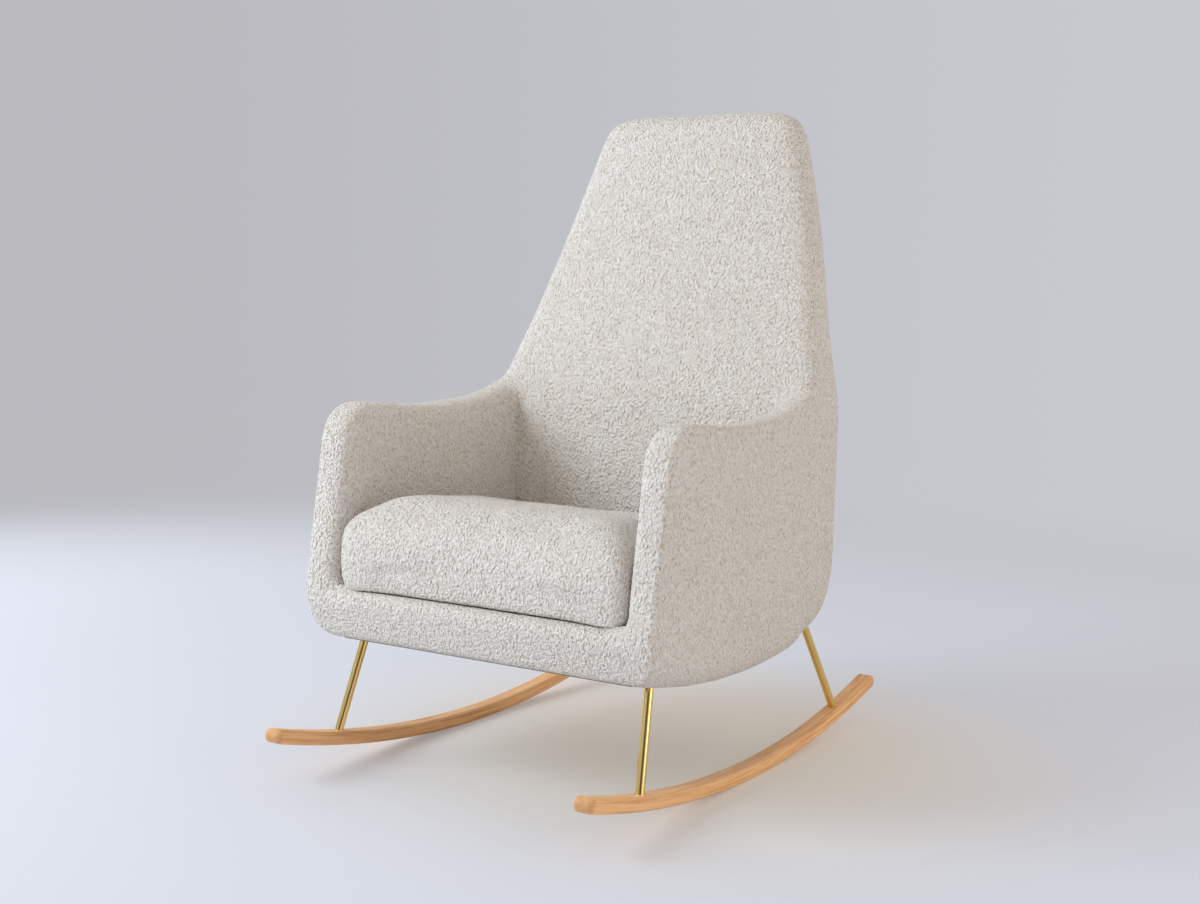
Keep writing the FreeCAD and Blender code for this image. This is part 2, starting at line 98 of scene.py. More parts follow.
def ramp(tree, value, *stops):
    node = addNode(tree, "ShaderNodeValToRGB")
    while len(node.color_ramp.elements) < len(stops):
        node.color_ramp.elements.new(1.0)
    for element, (place, colour) in zip(node.color_ramp.elements, stops):
        element.position = place
        element.color = (*colour, 1.0)
    feed(tree, node, i0=value)
    return node.outputs[0]


def blend(tree, share, first, second):
    # first is a socket, second a plain colour
    node = addNode(tree, "ShaderNodeMix", data_type="RGBA")
    feed(tree, node, i0=share, i6=first, i7=(*second, 1.0))
    return node.outputs[2]


def noise(tree, place, scale=1.0, detail=2.0, roughness=0.5, distortion=0.0, output="Fac"):
    node = addNode(tree, "ShaderNodeTexNoise")
    feed(tree, node, Vector=place, Scale=scale, Detail=detail, Roughness=roughness, Distortion=distortion)
    return node.outputs[output]


def bands(tree, place, scale, direction, **settings):
    node = addNode(tree, "ShaderNodeTexWave", bands_direction=direction)
    feed(tree, node, Vector=place, Scale=scale, **settings)
    return node.outputs["Fac"]


def stored(tree, name, output):
    return addNode(tree, "ShaderNodeAttribute", attribute_name=name).outputs[output]


def objectPlace(tree):
    return addNode(tree, "ShaderNodeTexCoord").outputs["Object"]


def newMaterial(name):
    material = bpy.data.materials.new(name)
    material.use_nodes = True
    tree = material.node_tree
    return material, tree, tree.nodes["Principled BSDF"]


def bump(tree, shader, height, strength, distance):
    node = addNode(tree, "ShaderNodeBump")
    feed(tree, node, Strength=strength, Distance=distance, Height=height)
    feed(tree, shader, Normal=node.outputs[0])


# looped fabric, in metres: loops about nubWidth apart, pale on top, and darker and warmer between them with
# painted shade
boucleFacts = {
    "nubWidth": 0.0034,
    "nubRise": 0.0008,
    "curl": 0.5,
    "warp": 0.0008,
    "upright": 0.74,
    "seamWidth": 0.0032,
    "seamDepth": 0.0012,
    "seamStart": -0.330,
    "seamEnd": -0.200,
    "levels": 1,
}
boucleLook = {
    # the colour of the hollows between the loops is painted shade
    "paintedValleyShade": (0.05, (0.655, 0.555, 0.455)),  # tone, colour
    "side": (0.42, (0.815, 0.75, 0.675)),
    "top": (0.82, (0.89, 0.865, 0.83)),
    "curlRange": (0.25, 0.72),
    "curlRoughness": 0.6,
    "driftPitch": 0.5,
    "beadFall": 1.35,
    "middleHeight": 0.6,
    "relief": 0.0038,
    "fibreScale": 520.0,
    "fibreTone": 0.30,
    "fibreRelief": 0.4,
    "cloudScale": 9.0,
    "cloudTone": 0.10,
    "toneShift": -0.20,
    # how much darker the fabric's colour is in the seam's groove: painted shade
    "seamPaintedShade": 0.25,
    "roughness": 0.95,
    "specular": 0.15,
    "sheen": 0.25,
    "sheenRoughness": 0.45,
}


def nubField(tree, position, facts):
    # height of the loops at a place on the fabric: 0 between them, 1 on their tops
    tall = addNode(tree, "ShaderNodeCombineXYZ")
    feed(tree, tall, X=1.0, Y=1.0, Z=facts["upright"])
    place = vectors(tree, "MULTIPLY", position, tall.outputs[0])
    pitch = sums(tree, "DIVIDE", 1.0, facts["nubWidth"])
    curls = noise(tree, place, pitch, detail=1.0, roughness=boucleLook["curlRoughness"])
    curls = fade(tree, curls, *boucleLook["curlRange"])
    driftPitch = sums(tree, "MULTIPLY", pitch, boucleLook["driftPitch"])
    drift = noise(tree, position, driftPitch, detail=1.0, output="Color")
    drift = vectors(tree, "SUBTRACT", drift, (0.5, 0.5, 0.5))
    place = vectors(tree, "ADD", place, vectors(tree, "SCALE", drift, scale=facts["warp"]))
    cells = addNode(tree, "ShaderNodeTexVoronoi", feature="F1")
    feed(tree, cells, Vector=place, Scale=pitch)
    far = cells.outputs["Distance"]
    fall = sums(tree, "MULTIPLY", sums(tree, "MULTIPLY", far, far), boucleLook["beadFall"])
    beads = sums(tree, "SUBTRACT", 1.0, fall, clamp=True)
    return sums(tree, "MULTIPLY_ADD", sums(tree, "SUBTRACT", curls, beads), facts["curl"], beads)


def boucleMaterial():
    # restPlace is where the fabric lay before its loops were raised
    look = boucleLook
    material, tree, shader = newMaterial("boucle")
    place = stored(tree, "restPlace", "Vector")
    # the seam's groove is darkened in the colour: painted shade
    seamPaintedShade = sums(tree, "MULTIPLY", stored(tree, "sewn", "Fac"), look["seamPaintedShade"])
    height = nubField(tree, place, boucleFacts)
    fibre = noise(tree, place, look["fibreScale"], detail=1.0, distortion=1.0)
    cloud = noise(tree, place, look["cloudScale"], detail=1.0)
    tone = sums(tree, "MULTIPLY_ADD", cloud, look["cloudTone"], look["toneShift"])
    tone = sums(tree, "MULTIPLY_ADD", fibre, look["fibreTone"], tone)
    tone = sums(tree, "SUBTRACT", sums(tree, "ADD", height, tone), seamPaintedShade, clamp=True)
    # the colour darkens from the loops' tops into the hollows between them: painted shade
    feed(tree, shader, Base_Color=ramp(tree, tone, look["paintedValleyShade"], look["side"], look["top"]),
         Roughness=look["roughness"], Specular_IOR_Level=look["specular"],
         Sheen_Weight=look["sheen"], Sheen_Roughness=look["sheenRoughness"])
    bump(tree, shader, sums(tree, "MULTIPLY_ADD", fibre, look["fibreRelief"], height), 1.0, look["relief"])
    return material


# oak; each stretch counts along the bar, across it and up its section
oakLook = {
    "pore": (0.36, (0.62, 0.29, 0.11)),  # tone, colour
    "mid": (0.47, (0.85, 0.455, 0.20)),
    "pale": (0.58, (0.94, 0.56, 0.27)),
    "endGrain": (0.55, 0.28, 0.12),
    "figureStretch": (7.0, 260.0, 260.0),
    "bandStretch": (2.2, 40.0, 55.0),
    "poreStretch": (22.0, 620.0, 620.0),
    "figureShare": 0.6,
    "figureRange": (0.3, 0.7),
    "bandShare": 0.4,
    "poreRange": (0.60, 0.72),
    "poreShare": 0.6,
    "endShare": 0.7,
    "roughness": (0.52, 0.40),
    "specular": 0.25,
    "bumpStrength": 0.25,
    "relief": 0.0004,
}


def oakMaterial():
    # tipShare is 1 at the rounded ends
    look = oakLook
    material, tree, shader = newMaterial("oak")
    grain = stored(tree, "grain", "Vector")
    long, broad, fine = (vectors(tree, "MULTIPLY", grain, look[key])
                         for key in ("figureStretch", "bandStretch", "poreStretch"))
    figure = noise(tree, long, detail=4.0, roughness=0.6, distortion=0.5)
    broad = noise(tree, broad, distortion=1.2)
    pores = fade(tree, noise(tree, fine, detail=1.0), *look["poreRange"])
    tone = sums(tree, "MULTIPLY", figure, look["figureShare"])
    tone = sums(tree, "MULTIPLY_ADD", broad, look["bandShare"], tone)
    wood = ramp(tree, tone, look["pore"], look["mid"], look["pale"])
    wood = blend(tree, sums(tree, "MULTIPLY", pores, look["poreShare"]), wood, look["pore"][1])
    tip = sums(tree, "MULTIPLY", stored(tree, "tipShare", "Fac"), look["endShare"])
    feed(tree, shader, Base_Color=blend(tree, tip, wood, look["endGrain"]),
         Roughness=fade(tree, figure, *look["figureRange"], *look["roughness"]),
         Specular_IOR_Level=look["specular"])
    bump(tree, shader, sums(tree, "SUBTRACT", figure, pores), look["bumpStrength"], look["relief"])
    return material


brassLook = {
    "deep": (0.3, (0.90, 0.65, 0.22)),  # tone, colour
    "bright": (0.7, (0.94, 0.71, 0.29)),
    "drawnStretch": (6.0, 900.0, 900.0),
    "cloudScale": 18.0,
    "wearRange": (0.3, 0.7),
    "roughness": (0.10, 0.14),
}


def brassMaterial():
    look = brassLook
    material, tree, shader = newMaterial("brass")
    grain = stored(tree, "grain", "Vector")
    drawn = noise(tree, vectors(tree, "MULTIPLY", grain, look["drawnStretch"]), detail=3.0)
    cloud = noise(tree, vectors(tree, "MULTIPLY", grain, (look["cloudScale"],) * 3))
    wear = sums(tree, "MULTIPLY", sums(tree, "ADD", drawn, cloud), 0.5)
    feed(tree, shader, Base_Color=ramp(tree, cloud, look["deep"], look["bright"]),
         Roughness=fade(tree, wear, *look["wearRange"], *look["roughness"]), Metallic=1.0)
    return material


# hidden boards and cloths; along stretches the grain on each axis, and the other counts are per metre
boardLook = {
    "plywood": {"pale": (0.62, 0.44, 0.26), "dark": (0.45, 0.29, 0.15), "along": (140.0, 20.0, 6.0),
                "layers": 180.0},
    "hardwood": {"pale": (0.58, 0.39, 0.22), "dark": (0.42, 0.26, 0.13), "along": (8.0, 90.0, 90.0)},
}
# each gap colour, between the threads, is painted shade
clothLook = {
    "webbing": {"thread": (0.48, 0.38, 0.25), "gap": (0.2, 0.15, 0.1), "threads": 240.0, "stripes": 12.0},
    "lining cloth": {"thread": (0.34, 0.32, 0.29), "gap": (0.16, 0.15, 0.14), "threads": 420.0},
}
boardGrain = {
    "plyShare": 0.25,
    "plyWander": 0.4,
    "darkTone": 0.3,
    "paleTone": 0.65,
    "figureRange": (0.2, 0.8),
    "roughness": (0.75, 0.6),
    "bumpStrength": 0.3,
    "relief": 0.0005,
}
clothWeave = {
    "wander": 0.6,
    "upShare": 0.3,
    "slubScale": 60.0,
    "slubRange": (0.2, 0.8),
    "slubTone": (0.75, 1.0),
    "stripeRange": (0.1, 0.3),
    "stripeTone": (0.55, 1.0),
    "gapShadeTone": 0.1,
    "threadTone": 0.75,
    "roughness": 0.9,
    "bumpStrength": 0.4,
    "relief": 0.0005,
}
hiddenNodes = {
    "plywood": ("left_arm_panel", "right_arm_panel", "left_back_rib", "right_back_rib"),
    "hardwood": ("front_rail", "rear_rail", "lumbar_rail", "shoulder_rail", "crest_rail", "front_left_block",
                 "front_right_block", "rear_left_block", "rear_right_block"),
    "webbing": ("seat_webbing", "back_webbing"),
    "lining cloth": ("seat_deck", "dust_cover"),
}


def boardMaterial(name, pale, dark, along, layers=0.0):
    # layers: veneers seen on the edge
    look = boardGrain
    material, tree, shader = newMaterial(name)
    place = objectPlace(tree)
    long = vectors(tree, "MULTIPLY", place, along)
    figure = noise(tree, long, detail=4.0, roughness=0.6, distortion=0.7)
    tone = figure
    if layers:
        ply = bands(tree, place, layers, "X", Distortion=look["plyWander"])
        tone = sums(tree, "MULTIPLY", figure, 1.0 - look["plyShare"])
        tone = sums(tree, "MULTIPLY_ADD", ply, look["plyShare"], tone)
    feed(tree, shader, Base_Color=ramp(tree, tone, (look["darkTone"], dark), (look["paleTone"], pale)),
         Roughness=fade(tree, figure, *look["figureRange"], *look["roughness"]))
    bump(tree, shader, figure, look["bumpStrength"], look["relief"])
    return material


def wovenMaterial(name, thread, gap, threads, stripes=0.0):
    look = clothWeave
    material, tree, shader = newMaterial(name)
    place = objectPlace(tree)
    across, along, up = (bands(tree, place, threads, axis, Distortion=look["wander"], Detail=1.0)
                         for axis in "XYZ")
    up = sums(tree, "MULTIPLY_ADD", up, look["upShare"], 1.0 - look["upShare"])
    height = sums(tree, "MULTIPLY", sums(tree, "MAXIMUM", across, along), up)
    slub = fade(tree, noise(tree, place, look["slubScale"]), *look["slubRange"], *look["slubTone"])
    tone = sums(tree, "MULTIPLY", height, slub)
    if stripes:
        stripe = fade(tree, bands(tree, place, stripes, "X"), *look["stripeRange"], *look["stripeTone"])
        tone = sums(tree, "MULTIPLY", tone, stripe)
    # the colour darkens with the weave's height towards the gaps between the threads: painted shade
    feed(tree, shader, Base_Color=ramp(tree, tone, (look["gapShadeTone"], gap), (look["threadTone"], thread)),
         Roughness=look["roughness"])
    bump(tree, shader, height, look["bumpStrength"], look["relief"])
    return material


boucle = boucleMaterial()
oak = oakMaterial()
brass = brassMaterial()
hiddenFinish = {name: boardMaterial(name, **look) for name, look in boardLook.items()}
hiddenFinish.update({name: wovenMaterial(name, **look) for name, look in clothLook.items()})
for finish, names in hiddenNodes.items():
    for name in names:
        nodes[name].material_slots[0].material = hiddenFinish[finish]
print("materials made")

# each kind of stored layer: its key, number type and values per element
layerKinds = {
    "FLOAT_VECTOR": ("vector", np.float32, 3),
    "FLOAT": ("value", np.float32, 1),
    "INT": ("value", np.int32, 1),
    "BOOLEAN": ("value", bool, 1),
}


def storeLayer(mesh, name, kind, values, domain="POINT"):
    key, number = layerKinds[kind][:2]
    mesh.attributes.new(name, kind, domain).data.foreach_set(key, np.asarray(values, number).ravel())


def readRows(items, key, number, width):
    values = np.zeros(len(items) * width, number)
    items.foreach_get(key, values)
    return values.reshape(-1, width)


def readLayer(mesh, name):
    layer = mesh.attributes[name]
    return readRows(layer.data, *layerKinds[layer.data_type]).squeeze()


def readPoints(mesh):
    return readRows(mesh.vertices, "co", float, 3)


def readEdges(mesh):
    return readRows(mesh.edges, "vertices", np.int64, 2)


def readQuads(mesh):
    return readRows(mesh.loops, "vertex_index", np.int64, 1).reshape(-1, 4)


def writePoints(mesh, points):
    mesh.vertices.foreach_set("co", points.astype(np.float32).ravel())
    mesh.update()


def meshFrom(name, shape):
    mesh = bpy.data.meshes.new(name)
    shape.to_mesh(mesh)
    shape.free()
    return mesh


def mergedShape(*sources):
    # CAD meshes are loose triangles, so the copies are merged into closed ones
    shape = bmesh.new()
    for source in sources:
        shape.from_mesh(source)
    bmesh.ops.remove_doubles(shape, verts=shape.verts, dist=1e-5)
    return shape


def applied(piece):
    # the live modifiers become the plain mesh
    depsgraph = bpy.context.evaluated_depsgraph_get()
    mesh = bpy.data.meshes.new_from_object(piece.evaluated_get(depsgraph), preserve_all_data_layers=True,
                                           depsgraph=depsgraph)
    old = piece.data
    piece.modifiers.clear()
    piece.data = mesh
    bpy.data.meshes.remove(old)
    return piece


def remeshed(piece, voxel):
    remesh = piece.modifiers.new("remesh", "REMESH")
    remesh.mode = "VOXEL"
    remesh.voxel_size = voxel
    return applied(piece)


def islands(count, edges):
    label = np.arange(count)
    while True:
        low = np.minimum(label[edges[:, 0]], label[edges[:, 1]])
        lower = label.copy()
        np.minimum.at(lower, edges[:, 0], low)
        np.minimum.at(lower, edges[:, 1], low)
        lower = lower[lower]
        if np.array_equal(lower, label):
            return label
        label = lower


def outerSkin(piece):
    # only the largest island stays: the others line hollows inside
    mesh = piece.data
    points = readPoints(mesh)
    label = islands(len(points), readEdges(mesh))
    names, counts = np.unique(label, return_counts=True)
    keep = label == names[np.argmax(counts)]
    quads = readQuads(mesh)
    quads = quads[keep[quads[:, 0]]]
    number = np.cumsum(keep) - 1
    skin = bpy.data.meshes.new(piece.name)
    skin.from_pydata(points[keep].tolist(), [], number[quads].tolist())
    piece.data = skin
    bpy.data.meshes.remove(mesh)
    return piece


def relax(points, edges, rounds, pull, swell=0.0):
    # each point moves towards the middle of its neighbours
    # swell moves it back out, so that broad forms keep their size
    first, second = edges[:, 0], edges[:, 1]
    size = len(points)
    count = np.bincount(first, minlength=size) + np.bincount(second, minlength=size)
    for _ in range(rounds):
        for share in (1.0, -swell) if swell else (1.0,):
            middle = np.empty_like(points)
            for axis in range(3):
                middle[:, axis] = (np.bincount(first, points[second, axis], size)
                                   + np.bincount(second, points[first, axis], size)) / count
            points += (middle - points) * (pull * share)[:, None]
    return points


def slope(values, start, run):
    # 0 at start and 1 a run further on; a run below 0 goes the other way
    return np.clip((values - start) / run, 0, 1)


def bell(values, middle, reach):
    return np.exp(-((values - middle) / reach) ** 2)


def nearness(points, line, reach, block=20000):
    # 1 on the line's points, falling to 0 at reach
    out = np.full(len(points), np.inf)
    for start in range(0, len(points), block):
        some = points[start:start + block]
        gap = ((some[:, None, :] - line[None, :, :]) ** 2).sum(2)
        out[start:start + block] = np.sqrt(gap.min(1))
    return np.clip(1.0 - out / reach, 0.0, 1.0)


def boucleTree():
    tree = bpy.data.node_groups.new("boucleNubs", "GeometryNodeTree")

    def addSocket(name, kind, way="INPUT"):
        return tree.interface.new_socket(name=name, in_out=way, socket_type="NodeSocket" + kind)

    addSocket("Geometry", "Geometry", "OUTPUT")
    addSocket("Geometry", "Geometry")
    sockets = {name: addSocket(name, "Int" if name == "levels" else "Float") for name in boucleFacts}
    sockets["seamLine"] = addSocket("seamLine", "Object")
    sockets["fabric"] = addSocket("fabric", "Material")
    given = addNode(tree, "NodeGroupInput").outputs
    result = addNode(tree, "NodeGroupOutput")

    finer = addNode(tree, "GeometryNodeSubdivisionSurface")
    feed(tree, finer, Mesh=given["Geometry"], Level=given["levels"])
    position = addNode(tree, "GeometryNodeInputPosition").outputs[0]
    normal = addNode(tree, "GeometryNodeInputNormal").outputs[0]

    # a groove along the seam, which ends on its way along the arm
    seam = addNode(tree, "GeometryNodeObjectInfo", transform_space="ORIGINAL")
    feed(tree, seam, Object=given["seamLine"])
    near = addNode(tree, "GeometryNodeProximity", target_element="EDGES")
    feed(tree, near, i0=seam.outputs["Geometry"], Sample_Position=position)
    away = sums(tree, "DIVIDE", near.outputs["Distance"], given["seamWidth"])
    groove = fade(tree, away, 0.0, 1.0, 1.0, 0.0)
    depth = addNode(tree, "ShaderNodeSeparateXYZ")
    feed(tree, depth, i0=position)
    lasting = fade(tree, depth.outputs["Y"], given["seamStart"], given["seamEnd"], 1.0, 0.0)
    seamed = sums(tree, "MULTIPLY", sums(tree, "MULTIPLY", groove, lasting), near.outputs["Is Valid"])

    height = sums(tree, "SUBTRACT", nubField(tree, position, given), boucleLook["middleHeight"])
    rise = sums(tree, "SUBTRACT", sums(tree, "MULTIPLY", height, given["nubRise"]),
                sums(tree, "MULTIPLY", seamed, given["seamDepth"]))
    rest = addNode(tree, "GeometryNodeStoreNamedAttribute", data_type="FLOAT_VECTOR", domain="POINT")
    feed(tree, rest, Geometry=finer.outputs[0], Name="restPlace", Value=position)
    # sewn marks the seam's groove, where the fabric's colour is darkened as painted shade
    store = addNode(tree, "GeometryNodeStoreNamedAttribute", data_type="FLOAT", domain="POINT")
    feed(tree, store, Geometry=rest.outputs[0], Name="sewn", Value=seamed)
    lift = addNode(tree, "GeometryNodeSetPosition")
    feed(tree, lift, Geometry=store.outputs[0], Offset=vectors(tree, "SCALE", normal, scale=rise))
    real = addNode(tree, "GeometryNodeRealizeInstances")
    feed(tree, real, i0=lift.outputs[0])
    dress = addNode(tree, "GeometryNodeSetMaterial")
    feed(tree, dress, Geometry=real.outputs[0], Material=given["fabric"])
    feed(tree, result, i0=dress.outputs[0])
    return tree, sockets


nubTree, nubSockets = boucleTree()


def nubbed(piece, seamLine):
    modifier = piece.modifiers.new("nubs", "NODES")
    modifier.node_group = nubTree
    for name, value in {**boucleFacts, "seamLine": seamLine, "fabric": boucle}.items():
        modifier[nubSockets[name].identifier] = value
    return applied(piece)


# the padded shell: its panels are one flowing form, cut apart again along the panels' edges
# the back and three places are rounded further; each of their pairs is a start and run, or a middle and reach
shellFacts = {
    "panels": ("left_arm", "right_arm", "front_band", "inside_back", "outside_back"),
    "covers": ("leftArmCover", "rightArmCover", "frontBandCover", "insideBackCover", "outsideBackCover"),
    "coreLow": (-0.262, -0.340, 0.2005),
    "coreHigh": (0.262, 0.170, 0.268),
    "voxel": 0.0040,
    "pull": 0.5,
    "evenRounds": 20,
    "evenSwell": 1.04,
    "backRounds": 110,
    "armRounds": 26,
    "creaseRounds": 40,
    "seamReach": 0.014,
    "seamHold": 0.6,
    "seamFade": 0.1,
    "seamX": 0.275,
    "seamStep": 0.004,
    "seamBend": 0.6,
    "sideNormal": 0.6,
    "turnNormal": 0.5,
    "frontNormal": -0.25,
    "topNormal": 0.3,
    "backZ": (0.57, 0.09),
    "creaseX": (0.16, 0.06),
    "creaseY": (0.105, 0.05),
    "creaseLow": (0.28, 0.06),
    "creaseHigh": (0.74, -0.1),
    "lipX": (0.25, 0.03),
    "lipY": (-0.30, -0.02),
    "lipZ": (0.274, 0.03),
    "heelX": (0.15, 0.05),
    "heelY": (0.175, 0.05),
    "heelZ": (0.31, -0.05),
    "fill": 0.9,
}


def boxMesh(name, low, high):
    shape = bmesh.new()
    bmesh.ops.create_cube(shape, size=1.0)
    for corner in shape.verts:
        corner.co = [(low[k] + high[k]) / 2 + corner.co[k] * (high[k] - low[k]) for k in range(3)]
    return meshFrom(name, shape)


def seamEdge(edge):
    # between the flat outer side of an arm and its front or top
    facts = shellFacts
    if len(edge.link_faces) != 2 or min(abs(end.co.x) for end in edge.verts) < facts["seamX"]:
        return False
    normals = [face.normal for face in edge.link_faces]
    flat = any(abs(n.x) > facts["sideNormal"] for n in normals)
    turned = any(abs(n.x) < facts["turnNormal"] and (n.y < facts["frontNormal"] or n.z > facts["topNormal"])
                 for n in normals)
    return flat and turned and edge.calc_face_angle(0.0) > facts["seamBend"]


def armSeam():
    # the outer edge of each arm, from its toe up the front and along the top
    runs = []
    for panel in ("left_arm", "right_arm"):
        shape = mergedShape(nodes[panel].data)
        for edge in filter(seamEdge, shape.edges):
            start, end = (corner.co.copy() for corner in edge.verts)
            count = max(1, round((end - start).length / shellFacts["seamStep"]))
            spots = [start.lerp(end, k / count) for k in range(count + 1)]
            runs += list(zip(spots, spots[1:]))
        shape.free()
    mesh = bpy.data.meshes.new("armSeam")
    ends = [end for run in runs for end in run]
    mesh.from_pydata(ends, [(2 * k, 2 * k + 1) for k in range(len(runs))], [])
    print("arm seam edges:", len(runs))
    return addPiece("armSeam", mesh)


def nearestPanel(points, core):
    # which panel each point lies on; the last number is the hidden core
    sources = [nodes[name].data for name in shellFacts["panels"]] + [core]
    gaps = np.empty((len(sources), len(points)))
    for row, source in enumerate(sources):
        corners = [v.co for v in source.vertices]
        search = BVHTree.FromPolygons(corners, [tuple(f.vertices) for f in source.polygons])
        gaps[row] = [search.find_nearest(Vector(p))[3] for p in points.tolist()]
    return np.argmin(gaps, 0)


def roundedOver(points, edges, seamPoints):
    # even out the facets, then round the panels over; only the sewn front edge of each arm stays crisp
    facts = shellFacts
    crisp = nearness(points, seamPoints, facts["seamReach"])
    crisp *= slope(points[:, 1], boucleFacts["seamEnd"], -facts["seamFade"])
    loose = facts["pull"] * (1.0 - facts["seamHold"] * crisp)
    points = relax(points, edges, facts["evenRounds"], loose, facts["evenSwell"])
    x, y, z = points.T.copy()
    side = np.abs(x)
    back = slope(z, *facts["backZ"])
    crease = bell(y, *facts["creaseY"]) * slope(side, *facts["creaseX"])
    crease *= slope(z, *facts["creaseLow"]) * slope(z, *facts["creaseHigh"])
    lip = bell(side, *facts["lipX"]) * bell(z, *facts["lipZ"]) * slope(y, *facts["lipY"])
    heel = bell(y, *facts["heelY"]) * slope(side, *facts["heelX"]) * slope(z, *facts["heelZ"])
    points = relax(points, edges, facts["backRounds"], facts["pull"] * back)
    points = relax(points, edges, facts["armRounds"], loose * (1 - back))
    soft = np.maximum(np.maximum(crease, lip), heel)
    return relax(points, edges, facts["creaseRounds"], facts["pull"] * soft)


def cutCover(name, points, quads, rest, sewn):
    # the panel's own faces, closed behind by a fan over each open edge
    used, local = np.unique(quads, return_inverse=True)
    local = local.reshape(-1, 4)
    spots = points[used]
    ways = np.concatenate([local[:, [k, (k + 1) % 4]] for k in range(4)])
    code = ways[:, 0] * len(used) + ways[:, 1]
    back = ways[:, 1] * len(used) + ways[:, 0]
    rim = ways[~np.isin(code, back)]
    following = dict(rim.tolist())
    faces = local.tolist()
    middles = []
    while following:
        loop = [next(iter(following))]
        while loop[-1] in following:
            loop.append(following.pop(loop[-1]))
        centre = len(used) + len(middles)
        middles.append(spots[loop[:-1]].mean(0))
        faces += [(b, a, centre) for a, b in zip(loop, loop[1:])]
    middles = np.array(middles).reshape(-1, 3)
    spots = np.vstack([spots, middles])
    mesh = bpy.data.meshes.new(name)
    mesh.from_pydata(spots.tolist(), [], faces)
    storeLayer(mesh, "restPlace", "FLOAT_VECTOR", np.vstack([rest[used], middles]))
    storeLayer(mesh, "sewn", "FLOAT", np.concatenate([sewn[used], np.zeros(len(middles))]))
    mesh.shade_smooth()
    pairCode = np.array([len(spots), 1])
    sharp = np.isin(np.sort(readEdges(mesh), 1) @ pairCode, np.sort(rim, 1) @ pairCode)
    storeLayer(mesh, "sharp_edge", "BOOLEAN", sharp, "EDGE")
    mesh.materials.append(boucle)
    return addPiece(name, mesh)


seamLine = armSeam()
core = boxMesh("shellCore", shellFacts["coreLow"], shellFacts["coreHigh"])
shell = mergedShape(*[nodes[name].data for name in shellFacts["panels"]], core)
shell = addPiece("shellForm", meshFrom("shellForm", shell))
outerSkin(remeshed(shell, shellFacts["voxel"]))
shellPoints = readPoints(shell.data)
shellQuads = readQuads(shell.data)
panelOf = nearestPanel(shellPoints[shellQuads].mean(1), core)
print("shell form:", len(shellPoints), "points", np.bincount(panelOf))
shellPoints = roundedOver(shellPoints, readEdges(shell.data), readPoints(seamLine.data))
shellSurface = BVHTree.FromPolygons(shellPoints.tolist(), shellQuads.tolist())
writePoints(shell.data, shellPoints)
storeLayer(shell.data, "panel", "INT", panelOf, "FACE")
nubbed(shell, seamLine)
shellPoints = readPoints(shell.data)
shellQuads = readQuads(shell.data)
panelOf, restPlace, sewn = (readLayer(shell.data, name) for name in ("panel", "restPlace", "sewn"))
for number, (panel, coverName) in enumerate(zip(shellFacts["panels"], shellFacts["covers"])):
    cover = cutCover(coverName, shellPoints, shellQuads[panelOf == number], restPlace, sewn)
    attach(cover, "chair")
    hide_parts(panel)
    print(coverName, len(cover.data.polygons), "faces")
bpy.data.objects.remove(shell)

# the loose cushion: a smaller form swelled by cloth pressure, then seated against the arms, back and deck
cushionFacts = {
    "shrink": 0.004,
    "clothVoxel": 0.006,
    "voxel": 0.0040,
    "quality": 5,
    "pressure": 4.0,
    "stretch": 12.0,
    "shear": 6.0,
    "bend": 0.4,
    "mass": 0.3,
    "frames": 20,
    "cap": 0.014,
    "pull": 0.5,
    "evenRounds": 6,
    "lastRounds": 8,
    "bulgeForward": 0.010,
    "bulgeSide": 0.016,
    "bulgeY": (-0.27, -0.09),  # start, run
    "bulgeX": (0.13, 0.11),
    "bellyZ": 0.325,
    "bellyReach": 0.07,
    "bellyLeast": 0.2,
    "settle": 0.034,
    "settleShare": 0.7,
    "frontDrop": 0.012,
    "dropY": (-0.325, -0.015),
    "deckFrontY": -0.330,
    "lipHeight": 0.022,
    "lipY": (-0.300, -0.02),
    "lipReach": 0.022,
    "lipUpward": 0.25,
    "unevenness": 0.0016,
    "broadDents": (41, 37),  # waves, in radians per metre
    "fineDents": (73, 58, 66, 22),
    "fineShare": 0.6,
    "unevenZ": (0.295, 0.04),
    "topZ": (0.325, 0.05),
    "crown": 0.002,
    "crownY": -0.230,
    "crownReach": 0.09,
    "rearY": 0.070,
    "rearFall": 0.022,
    "shoulder": 0.009,
    "shoulderRun": 0.035,
    "shoulderZ": (0.345, 0.02),
    "restZ": 0.2757,
    "clearance": 0.0014,
    "searchReach": 0.05,
    "fill": 0.7,
}


def swelled(piece):
    facts = cushionFacts
    rest = readPoints(piece.data)
    cloth = piece.modifiers.new("swell", "CLOTH")
    cloth.settings.quality = facts["quality"]
    cloth.settings.mass = facts["mass"]
    cloth.settings.tension_stiffness = facts["stretch"]
    cloth.settings.compression_stiffness = facts["stretch"]
    cloth.settings.shear_stiffness = facts["shear"]
    cloth.settings.bending_stiffness = facts["bend"]
    cloth.settings.use_pressure = True
    cloth.settings.uniform_pressure_force = facts["pressure"]
    cloth.settings.effector_weights.gravity = 0.0
    cloth.collision_settings.use_collision = False
    cloth.point_cache.frame_start = 1
    cloth.point_cache.frame_end = facts["frames"]
    for number in range(1, facts["frames"] + 1):
        scene.frame_set(number)
    applied(piece)
    scene.frame_set(1)
    moved = readPoints(piece.data) - rest
    length = np.linalg.norm(moved, axis=1)
    print("cushion swelled by up to", round(float(length.max()) * 1000, 1), "mm")
    share = np.minimum(1.0, facts["cap"] / np.maximum(length, 1e-9))
    writePoints(piece.data, rest + moved * share[:, None])


